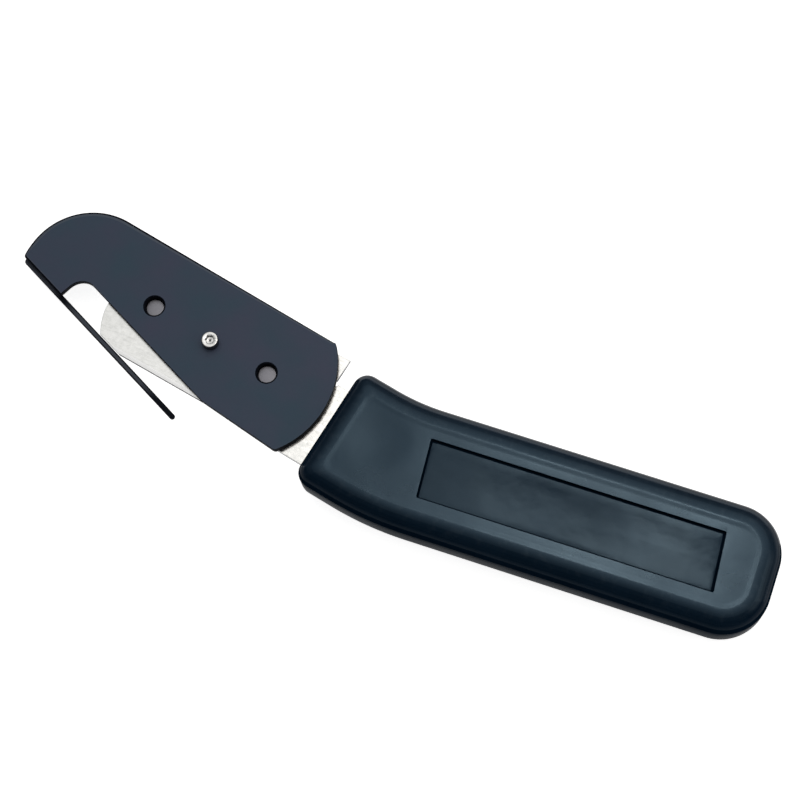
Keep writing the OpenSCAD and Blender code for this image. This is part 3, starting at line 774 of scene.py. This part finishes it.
# Materials
class Paint:
    """Material fed by procedural nodes in the piece's own coordinates."""

    def __init__(self, name, **constants):
        self.material = bpy.data.materials.new(name)
        self.material.use_nodes = True
        self.tree = self.material.node_tree
        self.shader = self.tree.nodes["Principled BSDF"]
        for socket, value in constants.items():
            self.shader.inputs[socket.replace("_", " ")].default_value = value
        self.place = self.node("ShaderNodeTexCoord", {}).outputs["Object"]

    def node(self, kind, inputs, **settings):
        node = self.tree.nodes.new(kind)
        for name, value in settings.items():
            setattr(node, name, value)
        for socket, value in inputs.items():
            self.feed(node.inputs[socket], value)
        return node

    def feed(self, socket, value):
        if isinstance(value, bpy.types.NodeSocket):
            self.tree.links.new(value, socket)
        else:
            socket.default_value = value

    def noise(self, scale, detail=2.0, stretch=(1, 1, 1), turn=0.0, at=None):
        place = at or self.place
        if stretch != (1, 1, 1) or turn:
            place = self.node("ShaderNodeMapping", {"Vector": place, "Scale": stretch,
                                                    "Rotation": (0, 0, radians(turn))}).outputs["Vector"]
        inputs = {"Vector": place, "Scale": scale, "Detail": detail}
        return self.node("ShaderNodeTexNoise", inputs).outputs["Fac"]

    def spread(self, value, low, high, start=0.3, end=0.7):
        return self.node("ShaderNodeMapRange", {"Value": value, "From Min": start, "From Max": end,
                                                "To Min": low, "To Max": high}).outputs["Result"]

    def math(self, kind, a, b):
        return self.node("ShaderNodeMath", {0: a, 1: b}, operation=kind, use_clamp=True).outputs[0]

    def mix(self, factor, low, high):
        node = self.node("ShaderNodeMix", {0: factor, 6: low, 7: high}, data_type="RGBA")
        return node.outputs[2]

    def wear_and_sheen(self, amount, speck=1400):
        """Share of the surface that shows wear, along its exposed edges."""
        edge = self.node("ShaderNodeAttribute", {}, attribute_name="wear").outputs["Fac"]
        return self.math("MULTIPLY", edge, self.spread(self.noise(speck, 3.0), 0, amount, 0.5, 0.68))

    def bump(self, height, depth, strength=1.0, over=None):
        inputs = {"Height": height, "Distance": depth * MM, "Strength": strength}
        if over:
            inputs["Normal"] = over
        return self.node("ShaderNodeBump", inputs).outputs["Normal"]

    def finish(self, colour, roughness, normal):
        for socket, value in (("Base Color", colour), ("Roughness", roughness), ("Normal", normal)):
            self.feed(self.shader.inputs[socket], value)
        return self.material


def rgb(r, g, b):
    return (r, g, b, 1.0)


def moulded(name, dark, light, rough, grain, shine=0.5):
    """Moulded plastic: faint clouds in colour and gloss, fine grain and small light scuffs on the edges."""
    paint = Paint(name, Specular_IOR_Level=shine, Specular_Tint=rgb(*PLASTIC_TINT))
    clouds, fine = paint.noise(70, 4.0), paint.noise(2200, 3.0)
    colour = paint.mix(paint.spread(clouds, 0, 1), dark, light)
    colour = paint.mix(paint.wear_and_sheen(0.12, 500), colour, rgb(0.08, 0.1, 0.12))
    gloss = paint.math("ADD", paint.spread(paint.noise(45, 3.0), *rough), paint.spread(fine, 0, 0.02))
    waves = paint.bump(paint.noise(160, 2.0), 0.02, over=paint.bump(paint.noise(40, 2.0), 0.06))
    return paint.finish(colour, gloss, paint.bump(fine, grain, over=waves))


def anodised(name, dark, light, bare_and_sheen, rough, shine=0.45):
    """Black finish on metal: fine speckle, soft clouds and a lighter tone where edges show wear."""
    paint = Paint(name, Specular_IOR_Level=shine, Specular_Tint=rgb(*BLACK_TINT))
    clouds, fine = paint.noise(90, 4.0), paint.noise(3200, 2.0)
    colour = paint.mix(paint.spread(clouds, 0, 1), dark, light)
    colour = paint.mix(paint.wear_and_sheen(0.3), colour, bare_and_sheen)
    gloss = paint.math("ADD", paint.spread(clouds, *rough), paint.spread(fine, 0, 0.08))
    return paint.finish(colour, gloss, paint.bump(fine, 0.003))


def painted_sheen(name, dark, light, bare_and_sheen, rough, shine):
    """Blackened strip, with a painted sheen of grey along the ledge of its root and along its shank, black
    at its tip.
    """
    paint = Paint(name, Specular_IOR_Level=shine, Specular_Tint=rgb(*BLACK_TINT))
    root = HEAD @ from_slot(0, 0).to_3d() * MM
    toward = HEAD.to_3x3() @ turned_by((1, 0), -SLOT_DEG).to_3d()
    place = paint.node("ShaderNodeVectorMath", {0: paint.place, 1: root}, operation="SUBTRACT").outputs[0]
    along = paint.node("ShaderNodeVectorMath", {0: place, 1: toward},
                       operation="DOT_PRODUCT").outputs["Value"]
    clouds, fine = paint.noise(130, 3.0), paint.noise(3200, 2.0)
    colour = paint.mix(paint.spread(clouds, 0, 1), dark, light)
    bounds = (SHEEN_LEDGE, SHEEN_START, SHEEN_END)
    ledge_at, start_at, end_at = ([d * MM for d in pair] for pair in bounds)
    ledge = paint.spread(along, 1.0, 0.0, *ledge_at)
    shank = paint.math("MULTIPLY", paint.spread(along, 0.0, SHEEN_SHARE, *start_at),
                       paint.spread(along, 1.0, 0.0, *end_at))
    # Painted sheen: the lighter grey mixed in along the ledge and the shank stands in for reflections on the
    # strip
    wear_and_sheen = paint.math("MULTIPLY", paint.math("ADD", ledge, shank), paint.spread(fine, 0.75, 1.0))
    colour = paint.mix(wear_and_sheen, colour, bare_and_sheen)
    gloss = paint.math("ADD", paint.spread(clouds, *rough), paint.spread(fine, 0, 0.08))
    return paint.finish(colour, gloss, paint.bump(fine, 0.003))


def ground_steel(name, dark, light, rough, lay, turn):
    """Bare steel with fine mottling and grinding marks that run along one direction."""
    paint = Paint(name, Metallic=1.0, Specular_IOR_Level=0.5)
    marks = paint.noise(1500, 3.0, stretch=(lay, 1, 1), turn=turn)
    mottle = paint.noise(1000, 5.0)
    shade = paint.math("ADD", paint.spread(marks, 0, 0.4), paint.spread(mottle, 0, 0.6))
    colour = paint.mix(shade, dark, light)
    gloss = paint.math("ADD", paint.spread(mottle, *rough), paint.spread(marks, 0, 0.06))
    return paint.finish(colour, gloss, paint.bump(marks, 0.002))


def turned_steel(name, dark, light, rough, spots):
    """Bare steel with faint rings of turning round each axis, and fine stains."""
    paint = Paint(name, Metallic=1.0, Specular_IOR_Level=0.5)
    rings = None
    for spot in spots:
        at = HEAD @ Vector((spot.x, spot.y, 0)) * MM
        place = paint.node("ShaderNodeVectorMath", {0: paint.place, 1: (at.x, at.y, 0)},
                           operation="SUBTRACT").outputs[0]
        wave = paint.node("ShaderNodeTexWave", {"Vector": place, "Scale": 900.0, "Distortion": 1.2},
                          wave_type="RINGS", rings_direction="Z").outputs["Fac"]
        rings = wave if rings is None else paint.math("MULTIPLY", rings, wave)
    stain = paint.noise(1200, 4.0)
    shade = paint.math("ADD", paint.spread(rings, 0, 0.3, 0, 1), paint.spread(stain, 0, 0.7))
    colour = paint.mix(shade, dark, light)
    return paint.finish(colour, paint.spread(stain, *rough), paint.bump(rings, 0.002))


def dress(piece, body, nodes, slot, *materials):
    for material in materials:
        piece.data.materials.append(material)
    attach(piece, body)
    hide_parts(*nodes)


def handle_plastic(level_number, shine, rough):
    return moulded("handle_plastic_%d" % level_number, rgb(0.002, 0.009, 0.02), rgb(0.004, 0.013, 0.027),
                   rough, 0.0008, shine)


def make_knife():
    """Handle, label and blade."""
    dress(make_handle(), "knife", ["handle"], "handle",
          *[handle_plastic(i, shine, rough) for i, (_, shine, rough) in enumerate(SHINES)])
    dress(make_label(), "knife", ["label_plate"], "label",
          moulded("label_plastic", rgb(0.002, 0.009, 0.02), rgb(0.005, 0.014, 0.029),
                  (0.08, 0.13), 0.0008, 0.165))
    dress(make_blade(), "knife", ["blade"], "blade",
          ground_steel("blade_steel", rgb(0.72, 0.72, 0.695), rgb(0.93, 0.93, 0.905),
                       (0.13, 0.2), 0.12, BEND_DEG),
          # Near-black steel: painted shade on the blade's sides and honed strip
          ground_steel("blade_side_painted_shade", rgb(0.08, 0.08, 0.09), rgb(0.18, 0.18, 0.19),
                       (0.45, 0.6), 0.3, BEND_DEG),
          ground_steel("blade_edge_steel", rgb(0.86, 0.86, 0.85), rgb(0.95, 0.95, 0.94),
                       (0.2, 0.26), 8.0, BEND_DEG))


def make_guard_set():
    """Pieces that lift off together: guard plate, finger, finger screws and clamp screw."""
    dress(make_guard(), "guard", ["guard_plate"], "guard",
          anodised("guard_black", rgb(0.045, 0.049, 0.088), rgb(0.034, 0.062, 0.094),
                   rgb(0.08, 0.09, 0.11), (0.4, 0.48)),
          # Near-black finish: painted shade on the guard's walls, steep roundings and hole lips
          anodised("guard_side_painted_shade", rgb(0.003, 0.004, 0.007), rgb(0.006, 0.007, 0.012),
                   rgb(0.03, 0.035, 0.045), (0.45, 0.55), 0.01),
          # Lighter finish: painted highlight on the guard's rounded edges
          anodised("guard_edge_painted_highlight", rgb(0.075, 0.08, 0.11), rgb(0.065, 0.088, 0.115),
                   rgb(0.14, 0.15, 0.17), (0.36, 0.44)))
    dress(make_finger(), "guard", ["guide_finger"], "finger",
          # The third colour is the grey of the finger's painted sheen
          painted_sheen("finger_steel", rgb(0.003, 0.0035, 0.006), rgb(0.006, 0.007, 0.011),
                 rgb(0.095, 0.105, 0.13), (0.4, 0.5), 0.08),
          anodised("finger_side_black", rgb(0.003, 0.0035, 0.006), rgb(0.006, 0.007, 0.011),
                   rgb(0.03, 0.032, 0.04), (0.4, 0.5), 0.08))
    dress(make_finger_screws(), "guard", ["finger_screws"], "small_screws",
          anodised("blackened_steel", rgb(0.006, 0.007, 0.011), rgb(0.011, 0.013, 0.019),
                   rgb(0.1, 0.1, 0.11), (0.34, 0.44), 0.15))
    dress(make_clamp_screw(), "screw", ["clamp_screw"], "clamp_screw",
          turned_steel("screw_steel", rgb(0.68, 0.68, 0.66), rgb(0.86, 0.855, 0.83), (0.2, 0.3), [SCREW]),
          # Darker copy of the screw's steel: painted shade on its sides and socket walls
          turned_steel("screw_side_painted_shade", rgb(0.1, 0.1, 0.105), rgb(0.18, 0.18, 0.185),
                       (0.3, 0.4), [SCREW]))


def make_clamp():
    """Clamp bar and the pins that it holds."""
    pin_steel = turned_steel("pin_steel", rgb(0.22, 0.22, 0.245), rgb(0.34, 0.34, 0.37), (0.42, 0.55), PINS)
    dress(make_clamp_bar(), "knife", ["clamp_bar"], "clamp_bar",
          ground_steel("bar_steel", rgb(0.3, 0.3, 0.31), rgb(0.46, 0.46, 0.47),
                       (0.36, 0.48), 0.15, BEND_DEG))
    dress(make_pin("front_locating_pin", PINS[0]), "knife", ["front_pin"], "pins", pin_steel)
    dress(make_pin("rear_locating_pin", PINS[1]), "knife", ["rear_pin"], "pins", pin_steel)


# Floor, light and camera
def make_floor():
    """Pale floor, lifted to white where it is seen or mirrored; it keeps the object's shadow."""
    mesh = bpy.data.meshes.new("floor")
    corners = [(x * FLOOR_HALF, y * FLOOR_HALF, 0) for x, y in ((-1, -1), (1, -1), (1, 1), (-1, 1))]
    mesh.from_pydata(corners, [], [(0, 1, 2, 3)])
    floor = bpy.data.objects.new("floor", mesh)
    bpy.context.scene.collection.objects.link(floor)
    paint = Paint("floor_white", Specular_IOR_Level=0.0, Roughness=0.9,
                  Base_Color=rgb(FLOOR_GREY, FLOOR_GREY, FLOOR_GREY), Emission_Color=rgb(1, 1, 1))
    path = paint.node("ShaderNodeLightPath", {}).outputs
    seen = paint.math("MAXIMUM", path["Is Camera Ray"], path["Is Glossy Ray"])
    seen = paint.math("MAXIMUM", seen, path["Is Transmission Ray"])
    paint.feed(paint.shader.inputs["Emission Strength"], paint.math("MULTIPLY", seen, FLOOR_LIFT))
    mesh.materials.append(paint.material)


def make_world():
    """Soft studio room: bright overhead and behind the spine side, dim low down on the other side."""
    world = bpy.data.worlds.new("studio")
    bpy.context.scene.world = world
    world.use_nodes = True
    tree = world.node_tree
    place, toward, fall, curve, level_range = (tree.nodes.new(kind) for kind in (
        "ShaderNodeTexCoord", "ShaderNodeVectorMath", "ShaderNodeMapRange", "ShaderNodeMath",
        "ShaderNodeMapRange"))
    toward.operation, curve.operation = "DOT_PRODUCT", "POWER"
    toward.inputs[1].default_value = Vector(ROOM_BRIGHT).normalized()
    curve.inputs[1].default_value = ROOM_CURVE
    level_range.inputs["To Min"].default_value, level_range.inputs["To Max"].default_value = ROOM_LEVELS
    background = tree.nodes["Background"]
    background.inputs["Color"].default_value = rgb(1, 1, 1)
    for a, b in ((place.outputs["Generated"], toward.inputs[0]),
                 (toward.outputs["Value"], fall.inputs["Value"]),
                 (fall.outputs["Result"], curve.inputs[0]),
                 (curve.outputs[0], level_range.inputs["Value"]),
                 (level_range.outputs["Result"], background.inputs["Strength"])):
        tree.links.new(a, b)


def area_light(name, place, aim, size, power):
    lamp = bpy.data.lights.new(name, "AREA")
    lamp.shape, lamp.size, lamp.size_y, lamp.energy = "RECTANGLE", size[0], size[1], power
    lamp.color = LAMP_COLOUR
    light = bpy.data.objects.new(name, lamp)
    light.location = place
    light.rotation_euler = (Vector(aim) - Vector(place)).to_track_quat("-Z", "Y").to_euler()
    bpy.context.scene.collection.objects.link(light)


def make_camera():
    camera = bpy.data.objects.new("camera", bpy.data.cameras.new("camera"))
    camera.data.lens, camera.data.sensor_width = LENS, SENSOR
    camera.data.clip_start, camera.data.clip_end = CAMERA_CLIP
    camera.location = CAMERA_AT
    camera.rotation_euler = [radians(turn) for turn in CAMERA_TURN]
    bpy.context.scene.collection.objects.link(camera)
    bpy.context.scene.camera = camera


make_knife()
make_guard_set()
make_clamp()
make_floor()
make_world()
for lamp in LAMPS:
    area_light(*lamp)
make_camera()
bpy.context.scene.view_settings.view_transform = "Standard"
